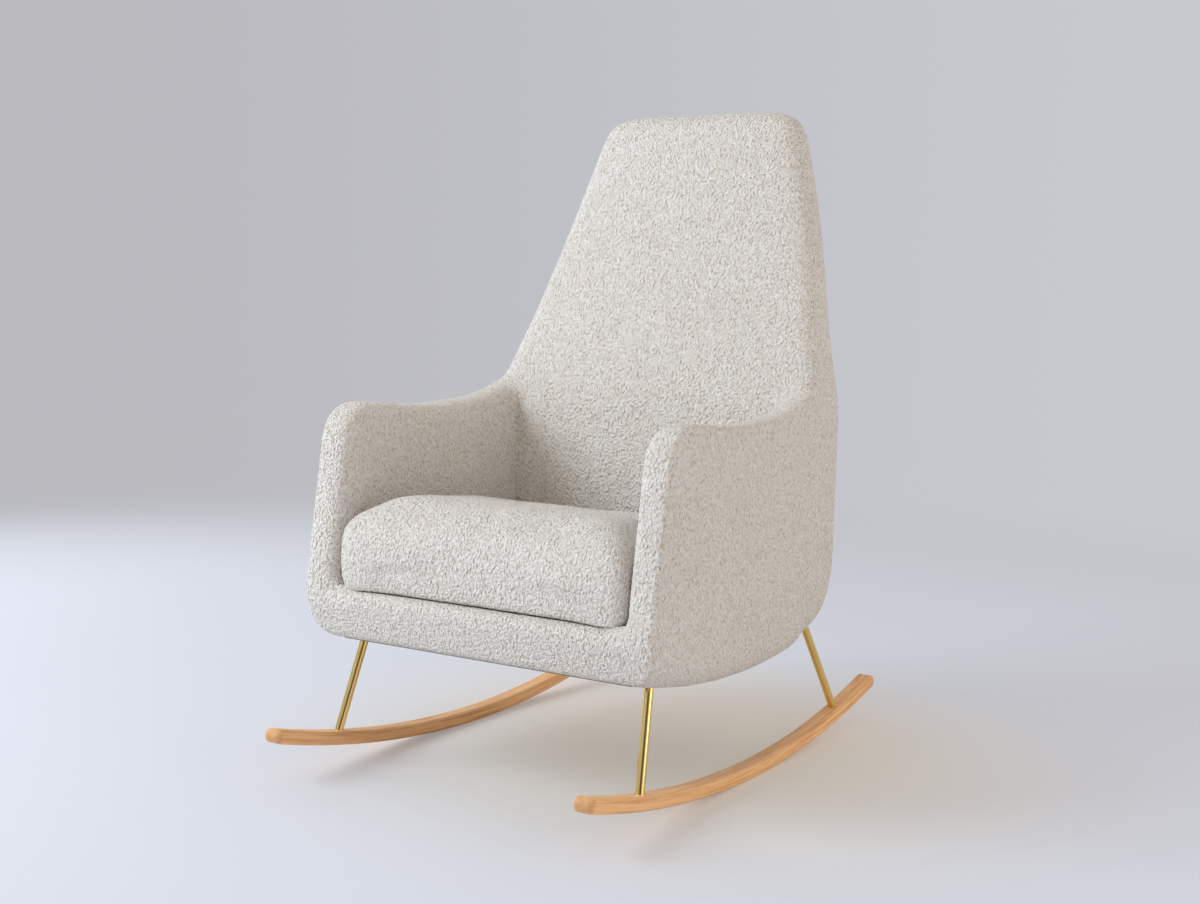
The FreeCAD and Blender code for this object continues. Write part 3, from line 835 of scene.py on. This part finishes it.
def plumped(points, middle, half):
    facts = cushionFacts
    x, y, z = points.T.copy()
    # the front swells forwards and sideways, and the underside settles
    front = slope(y, *facts["bulgeY"])
    front = front * front * (3 - 2 * front)
    belly = np.clip(1 - ((z - facts["bellyZ"]) / facts["bellyReach"]) ** 2, facts["bellyLeast"], 1)
    points[:, 0] += np.sign(x) * facts["bulgeSide"] * front * belly * slope(np.abs(x), *facts["bulgeX"])
    points[:, 1] -= facts["bulgeForward"] * front * belly
    rise = slope(z, facts["restZ"], facts["settle"])
    points[:, 2] -= np.where(rise < 1, (z - facts["restZ"]) * facts["settleShare"] * (1 - rise), 0)
    points[:, 2] -= facts["frontDrop"] * (1 - rise) * slope(y, *facts["dropY"])
    # slight dents, from waves that don't repeat over the cushion
    outwards = (points - middle) / half ** 2
    outwards /= np.linalg.norm(outwards, axis=1)[:, None]
    broadX, broadY = facts["broadDents"]
    fineX, fineY, fineZ, leanY = facts["fineDents"]
    broad = np.sin(x * broadX + 1.3) * np.sin(y * broadY + 0.4)
    fine = np.sin(x * fineX - y * fineY + 2.0) * np.sin(z * fineZ + y * leanY)
    dents = facts["unevenness"] * (broad + facts["fineShare"] * fine) * slope(z, *facts["unevenZ"])
    points += outwards * dents[:, None]
    # the top is highest near the front, falls to the rear and has full shoulders inside its edge
    x, y, z = points.T.copy()
    fall = slope(y, facts["crownY"], facts["rearY"] - facts["crownY"])
    crown = facts["crown"] * bell(y, facts["crownY"], facts["crownReach"])
    points[:, 2] += slope(z, *facts["topZ"]) * (crown - facts["rearFall"] * fall ** 2)
    toSide, toFront = np.abs(x).max() - np.abs(x), y - y.min()
    inset = toSide * toFront / np.maximum(np.hypot(toSide, toFront), 1e-6)
    inset /= facts["shoulderRun"]
    shoulder = facts["shoulder"] * inset * np.exp(1 - inset)
    points[:, 2] += shoulder * slope(z, *facts["shoulderZ"]) * (1 - fall)
    return points


def drawnDown(points):
    # the front lower edge lies on the band's rounded top
    facts = cushionFacts
    out = points.copy()
    low = slope(points[:, 2], facts["restZ"] + facts["lipHeight"], -facts["lipHeight"])
    low *= slope(points[:, 1], *facts["lipY"])
    for k in np.flatnonzero(low > 0):
        place, normal = shellSurface.find_nearest(points[k], facts["lipReach"])[:2]
        if place is not None and normal.z > facts["lipUpward"]:
            out[k] += (np.array(place + normal * facts["clearance"]) - points[k]) * low[k]
    return out


def seated(points):
    # nothing of the cushion goes into the shell round it
    facts = cushionFacts
    out = points.copy()
    for k, spot in enumerate(points.tolist()):
        place, normal = shellSurface.find_nearest(spot, facts["searchReach"])[:2]
        if place is not None and (Vector(spot) - place).dot(normal) < facts["clearance"]:
            out[k] = place + normal * facts["clearance"]
    onDeck = out[:, 1] > facts["deckFrontY"]
    out[onDeck, 2] = np.maximum(out[onDeck, 2], facts["restZ"])
    return out


def evened(piece, points, rounds):
    return relax(points, readEdges(piece.data), rounds, np.full(len(points), cushionFacts["pull"]))


cushion = mergedShape(nodes["seat_cushion"].data)
cushion = addPiece("seatCushion", meshFrom("seatCushion", cushion))
outerSkin(remeshed(cushion, cushionFacts["clothVoxel"]))
points = evened(cushion, readPoints(cushion.data), cushionFacts["evenRounds"])
middle = (points.max(0) + points.min(0)) / 2
half = (points.max(0) - points.min(0)) / 2
writePoints(cushion.data, middle + (points - middle) * (1 - cushionFacts["shrink"] / half))
swelled(cushion)
remeshed(cushion, cushionFacts["voxel"])
points = seated(drawnDown(plumped(readPoints(cushion.data), middle, half)))
points = seated(evened(cushion, points, cushionFacts["lastRounds"]))
writePoints(cushion.data, points)
noSeam = addPiece("noSeam", bpy.data.meshes.new("noSeam"))
nubbed(cushion, noSeam)
cushion.data.shade_smooth()
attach(cushion, "cushion")
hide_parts("seat_cushion")
for helper in (noSeam, seamLine):
    bpy.data.objects.remove(helper)
print("seatCushion", len(cushion.data.polygons), "faces")


def outward(mesh):
    shape = bmesh.new()
    shape.from_mesh(mesh)
    bmesh.ops.recalc_face_normals(shape, faces=shape.faces)
    shape.to_mesh(mesh)
    shape.free()


def sweptBar(name, points, ring, material, **layers):
    # rings of points joined into a closed bar; each layer is a kind and its values
    faces = []
    for row in range(len(points) // ring - 1):
        for k in range(ring):
            a, b = row * ring + k, row * ring + (k + 1) % ring
            faces.append((a, b, b + ring, a + ring))
    faces.append(tuple(reversed(range(ring))))
    faces.append(tuple(range(len(points) - ring, len(points))))
    mesh = bpy.data.meshes.new(name)
    mesh.from_pydata(points, [], faces)
    for layer, (kind, values) in layers.items():
        storeLayer(mesh, layer, kind, values)
    outward(mesh)
    mesh.shade_smooth()
    mesh.materials.append(material)
    return addPiece(name, mesh)


# bent oak rockers: a soft-edged bar swept along the arc, with rounded tips
rockerFacts = {
    "radius": 1.885,
    "centreY": 0.016,
    "centreZ": 1.88468,
    "height": 0.021,
    "edge": 0.0062,
    "edgeMost": 0.98,  # share of the half section
    "cornerSteps": 6,
    "step": 0.006,
    "tipSteps": 12,
    "tipFirst": 0.35,
    "tipSide": 0.75,
    "endGrain": 1.1,
    "grainShift": {"left_rocker": 0.37, "right_rocker": 1.9},
}


def barSection(halfWide, halfHigh):
    most, steps = rockerFacts["edgeMost"], rockerFacts["cornerSteps"]
    corner = min(rockerFacts["edge"], halfWide * most, halfHigh * most)
    out = []
    for cx, cz, start in ((1, -1, -90), (1, 1, 0), (-1, 1, 90), (-1, -1, 180)):
        for k in range(steps + 1):
            turn = math.radians(start + 90 * k / steps)
            out.append((cx * (halfWide - corner) + corner * math.cos(turn),
                        cz * (halfHigh - corner) + corner * math.sin(turn)))
    return out


def roundEnd(share):
    # height of a quarter circle, from 0 at the end to 1 where the bar runs on
    return math.sqrt(max(1 - (1 - min(share, 1.0)) ** 2, 0.0))


def rockerRuns(length, tip):
    # places along the bar, closer together at the tips
    facts = rockerFacts
    turns = [math.pi / 2 * (k + facts["tipFirst"]) / facts["tipSteps"] for k in range(facts["tipSteps"])]
    fine = [tip * (1 - math.cos(turn)) for turn in turns]
    count = round((length - 2 * tip) / facts["step"])
    plain = [tip + (length - 2 * tip) * k / count for k in range(count + 1)]
    return fine + plain + [length - run for run in reversed(fine)]


def rockerBar(name, node):
    facts = rockerFacts
    low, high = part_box(node)
    midX, halfWide, halfHigh = (low.x + high.x) / 2, (high.x - low.x) / 2, facts["height"] / 2
    radius = facts["radius"] - halfHigh
    angles = [math.asin((end - facts["centreY"]) / radius) for end in (low.y, high.y)]
    length = (angles[1] - angles[0]) * radius
    tip, sideTip = halfHigh, halfHigh * facts["tipSide"]
    points, grain, tips = [], [], []
    for run in rockerRuns(length, tip):
        toEnd = min(run, length - run)
        wide = halfWide - sideTip * (1 - roundEnd(toEnd / sideTip))
        angle = angles[0] + run / radius
        for across, up in barSection(wide, halfHigh * roundEnd(toEnd / tip)):
            reach = radius - up
            points.append((midX + across, facts["centreY"] + reach * math.sin(angle),
                           max(facts["centreZ"] - reach * math.cos(angle), 0.0)))
            grain.append((run + facts["grainShift"][node], across + midX, up))
            tips.append(1 - min(toEnd / (tip * facts["endGrain"]), 1.0))
    ring = 4 * (facts["cornerSteps"] + 1)
    return sweptBar(name, points, ring, oak, grain=("FLOAT_VECTOR", grain), tipShare=("FLOAT", tips))


for node, name in (("left_rocker", "leftRockerBar"), ("right_rocker", "rightRockerBar")):
    bar = rockerBar(name, node)
    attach(bar, "chair")
    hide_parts(node)
print("rockers swept")

# drawn brass legs, round and smooth from the rocker's socket to the block inside the shell
legFacts = {"sides": 48, "rows": 24, "chamfer": 0.0005, "endReach": 0.001}


def legLine(node):
    # foot, head and radius of the CAD leg
    spots = np.unique(np.round(readPoints(nodes[node].data), 6), axis=0)
    middle = spots.mean(0)
    axis = np.linalg.svd(spots - middle)[2][0]
    axis *= np.sign(axis[2])
    along = (spots - middle) @ axis
    foot = spots[along < along.min() + legFacts["endReach"]].mean(0)
    head = spots[along > along.max() - legFacts["endReach"]].mean(0)
    axis = (head - foot) / np.linalg.norm(head - foot)
    flat = (spots - foot) - np.outer((spots - foot) @ axis, axis)
    return foot, head, np.linalg.norm(flat, axis=1).max()


def legRod(name, node):
    foot, head, radius = legLine(node)
    length = np.linalg.norm(head - foot)
    axis = (head - foot) / length
    side = np.cross(axis, (0.0, 1.0, 0.0))
    side /= np.linalg.norm(side)
    front = np.cross(axis, side)
    chamfer, sides = legFacts["chamfer"], legFacts["sides"]
    rows = [(0.0, radius - chamfer), (chamfer, radius)]
    rows += [(length * k / legFacts["rows"], radius) for k in range(1, legFacts["rows"])]
    rows += [(length - chamfer, radius), (length, radius - chamfer)]
    points, grain = [], []
    for run, wide in rows:
        for k in range(sides):
            turn = 2 * math.pi * k / sides
            spot = foot + axis * run + side * (wide * math.cos(turn)) + front * (wide * math.sin(turn))
            points.append(tuple(spot))
            grain.append((run, radius * math.cos(turn), radius * math.sin(turn)))
    return sweptBar(name, points, sides, brass, grain=("FLOAT_VECTOR", grain))


for node, name in (("front_left_leg", "frontLeftRod"), ("front_right_leg", "frontRightRod"),
                   ("rear_left_leg", "rearLeftRod"), ("rear_right_leg", "rearRightRod")):
    rod = legRod(name, node)
    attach(rod, "chair")
    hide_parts(node)
print("legs drawn")

# pale studio: floor that fades into the backdrop colour, with painted warm bounce light under the chair
studio = {
    "floorColour": (0.70, 0.72, 0.795),
    # the warm tint near the chair is painted bounce light from the fabric and wood
    "floorBounceTint": (0.77, 0.715, 0.645),
    "bounceCentre": (0.10, 0.10, 0.0),
    "bounceRange": (0.15, 0.8),
    "dustTone": 0.04,
    "dustScale": 4.0,
    "floorRoughness": 0.7,
    "floorSpecular": 0.25,
    "floorGlow": 0.30,
    "floorSize": 9.0,
    "floorSides": 96,
    "floorFade": (1.6, 4.2),
    # the backdrop's left and right colours are painted shade and painted light
    "backdropShadedLeft": (0.485, 0.485, 0.515),
    "backdropLitRight": (0.575, 0.585, 0.62),
    "backAcross": (0.85, 0.53, 0.0),
    "backRange": (-0.4, 0.4),
    "worldLight": 0.575,
    "worldColour": (1.0, 0.945, 0.88, 1.0),
}
flagFacts = {
    "centre": Vector((1.75, -2.85, 0.75)),
    "facing": Vector((0.525, -0.85, 0.0)),
    "width": 2.6,
    "height": 1.5,
    "colour": (0.13, 0.095, 0.055, 1.0),
}
lamps = {
    "keyLight": {"place": (-2.15, -2.45, 2.1), "aim": (0.0, 0.0, 0.45), "size": (1.9, 1.9),
                 "power": 98.0, "colour": (0.81, 0.905, 1.0)},
    "rimLight": {"place": (-3.0, 0.5, 1.3), "aim": (0.0, 0.0, 0.6), "size": (1.6, 1.6),
                 "power": 18.0, "colour": (0.80, 0.90, 1.0)},
    "sideFill": {"place": (2.9, 0.3, 1.1), "aim": (0.0, 0.0, 0.4), "size": (2.0, 1.6),
                 "power": 19.0, "colour": (1.0, 0.955, 0.90)},
}


def mixShaders(tree, share, first, second):
    node = addNode(tree, "ShaderNodeMixShader")
    feed(tree, node, i0=share, i1=first, i2=second)
    return node.outputs[0]


def studioFloor():
    shape = bmesh.new()
    bmesh.ops.create_circle(shape, cap_ends=True, segments=studio["floorSides"], radius=studio["floorSize"])
    floor = addPiece("studioFloor", meshFrom("studioFloor", shape))
    material, tree, shader = newMaterial("studio floor")
    place = objectPlace(tree)
    # the floor is warmer near the chair: painted light, the warm bounce from the fabric and wood
    away = fade(tree, vectors(tree, "DISTANCE", place, studio["bounceCentre"]), *studio["bounceRange"])
    away = sums(tree, "SUBTRACT", away, studio["dustTone"] / 2)
    dust = noise(tree, place, studio["dustScale"], detail=3.0)
    tone = sums(tree, "MULTIPLY_ADD", dust, studio["dustTone"], away)
    colour = ramp(tree, tone, (0.0, studio["floorBounceTint"]), (1.0, studio["floorColour"]))
    feed(tree, shader, Base_Color=colour, Roughness=studio["floorRoughness"],
         Specular_IOR_Level=studio["floorSpecular"])
    # a little of the floor's own colour shows to the camera, which lifts the shadow as a bright studio does
    glow = addNode(tree, "ShaderNodeEmission")
    feed(tree, glow, Color=colour, Strength=1.0)
    path = addNode(tree, "ShaderNodeLightPath")
    seen = sums(tree, "MULTIPLY", path.outputs["Is Camera Ray"], studio["floorGlow"])
    lifted = mixShaders(tree, seen, shader.outputs[0], glow.outputs[0])
    clear = addNode(tree, "ShaderNodeBsdfTransparent")
    away = fade(tree, vectors(tree, "LENGTH", place), *studio["floorFade"])
    feed(tree, tree.nodes["Material Output"], Surface=mixShaders(tree, away, lifted, clear.outputs[0]))
    floor.data.materials.append(material)


def studioWorld():
    # the world lights the chair; the camera, metal and glass see the backdrop instead
    world = bpy.data.worlds.new("studio")
    scene.world = world
    world.use_nodes = True
    tree = world.node_tree
    light = tree.nodes["Background"]
    feed(tree, light, Color=studio["worldColour"], Strength=studio["worldLight"])
    direction = addNode(tree, "ShaderNodeTexCoord").outputs["Generated"]
    # the backdrop is darker to the left and lighter to the right: painted shade and light
    across = fade(tree, vectors(tree, "DOT_PRODUCT", direction, studio["backAcross"]), *studio["backRange"])
    backdrop = addNode(tree, "ShaderNodeBackground")
    colour = ramp(tree, across, (0.0, studio["backdropShadedLeft"]), (1.0, studio["backdropLitRight"]))
    feed(tree, backdrop, Color=colour, Strength=1.0)
    path = addNode(tree, "ShaderNodeLightPath").outputs
    seen = sums(tree, "MAXIMUM", path["Is Glossy Ray"], path["Is Transmission Ray"])
    seen = sums(tree, "MAXIMUM", path["Is Camera Ray"], seen)
    mixed = mixShaders(tree, seen, light.outputs[0], backdrop.outputs[0])
    feed(tree, tree.nodes["World Output"], Surface=mixed)


def softbox(name, place, aim, size, power, colour):
    data = bpy.data.lights.new(name, "AREA")
    data.shape = "RECTANGLE"
    data.size, data.size_y = size
    data.energy = power
    data.color = colour
    lamp = bpy.data.objects.new(name, data)
    lamp.location = place
    lamp.rotation_euler = (Vector(aim) - Vector(place)).to_track_quat("-Z", "Y").to_euler()
    scene.collection.objects.link(lamp)


def darkFlag(centre, facing, width, height, colour):
    # a dark studio flag behind the camera, which only reflections show
    shape = bmesh.new()
    across = Vector((-facing.y, facing.x, 0.0)).normalized() * width / 2
    up = Vector((0.0, 0.0, height / 2))
    corners = ((-1, -1), (1, -1), (1, 1), (-1, 1))
    shape.faces.new([shape.verts.new(centre + across * u + up * v) for u, v in corners])
    flag = addPiece("darkFlag", meshFrom("darkFlag", shape))
    material, tree, shader = newMaterial("flag cloth")
    feed(tree, shader, Base_Color=colour, Roughness=1.0)
    flag.data.materials.append(material)
    flag.visible_camera = flag.visible_diffuse = flag.visible_shadow = False


studioFloor()
studioWorld()
darkFlag(**flagFacts)
for name, lamp in lamps.items():
    softbox(name, **lamp)
print("studio lit")

# the photograph's view
viewFacts = {
    "azimuth": 31.6592,
    "elevation": 4.7669,
    "roll": 1.75,
    "focalPixels": 1555.37,
    "widePixels": 1200,
    "sensor": 36.0,
    "place": (1.27393, -2.08978, 0.67863),
}
azimuth, elevation, roll = (math.radians(viewFacts[k]) for k in ("azimuth", "elevation", "roll"))
level = math.cos(elevation)
backward = Vector((math.sin(azimuth) * level, -math.cos(azimuth) * level, math.sin(elevation)))
sideways = Vector((math.cos(azimuth), math.sin(azimuth), 0.0))
upward = backward.cross(sideways)
turnedSide = sideways * math.cos(roll) + upward * math.sin(roll)
turnedUp = upward * math.cos(roll) - sideways * math.sin(roll)
turn = Matrix((turnedSide, turnedUp, backward)).transposed()
cameraData = bpy.data.cameras.new("photoView")
cameraData.sensor_fit = "HORIZONTAL"
cameraData.sensor_width = viewFacts["sensor"]
cameraData.lens = viewFacts["focalPixels"] / viewFacts["widePixels"] * viewFacts["sensor"]
camera = bpy.data.objects.new("photoView", cameraData)
camera.matrix_world = Matrix.Translation(viewFacts["place"]) @ turn.to_4x4()
scene.collection.objects.link(camera)
scene.camera = camera
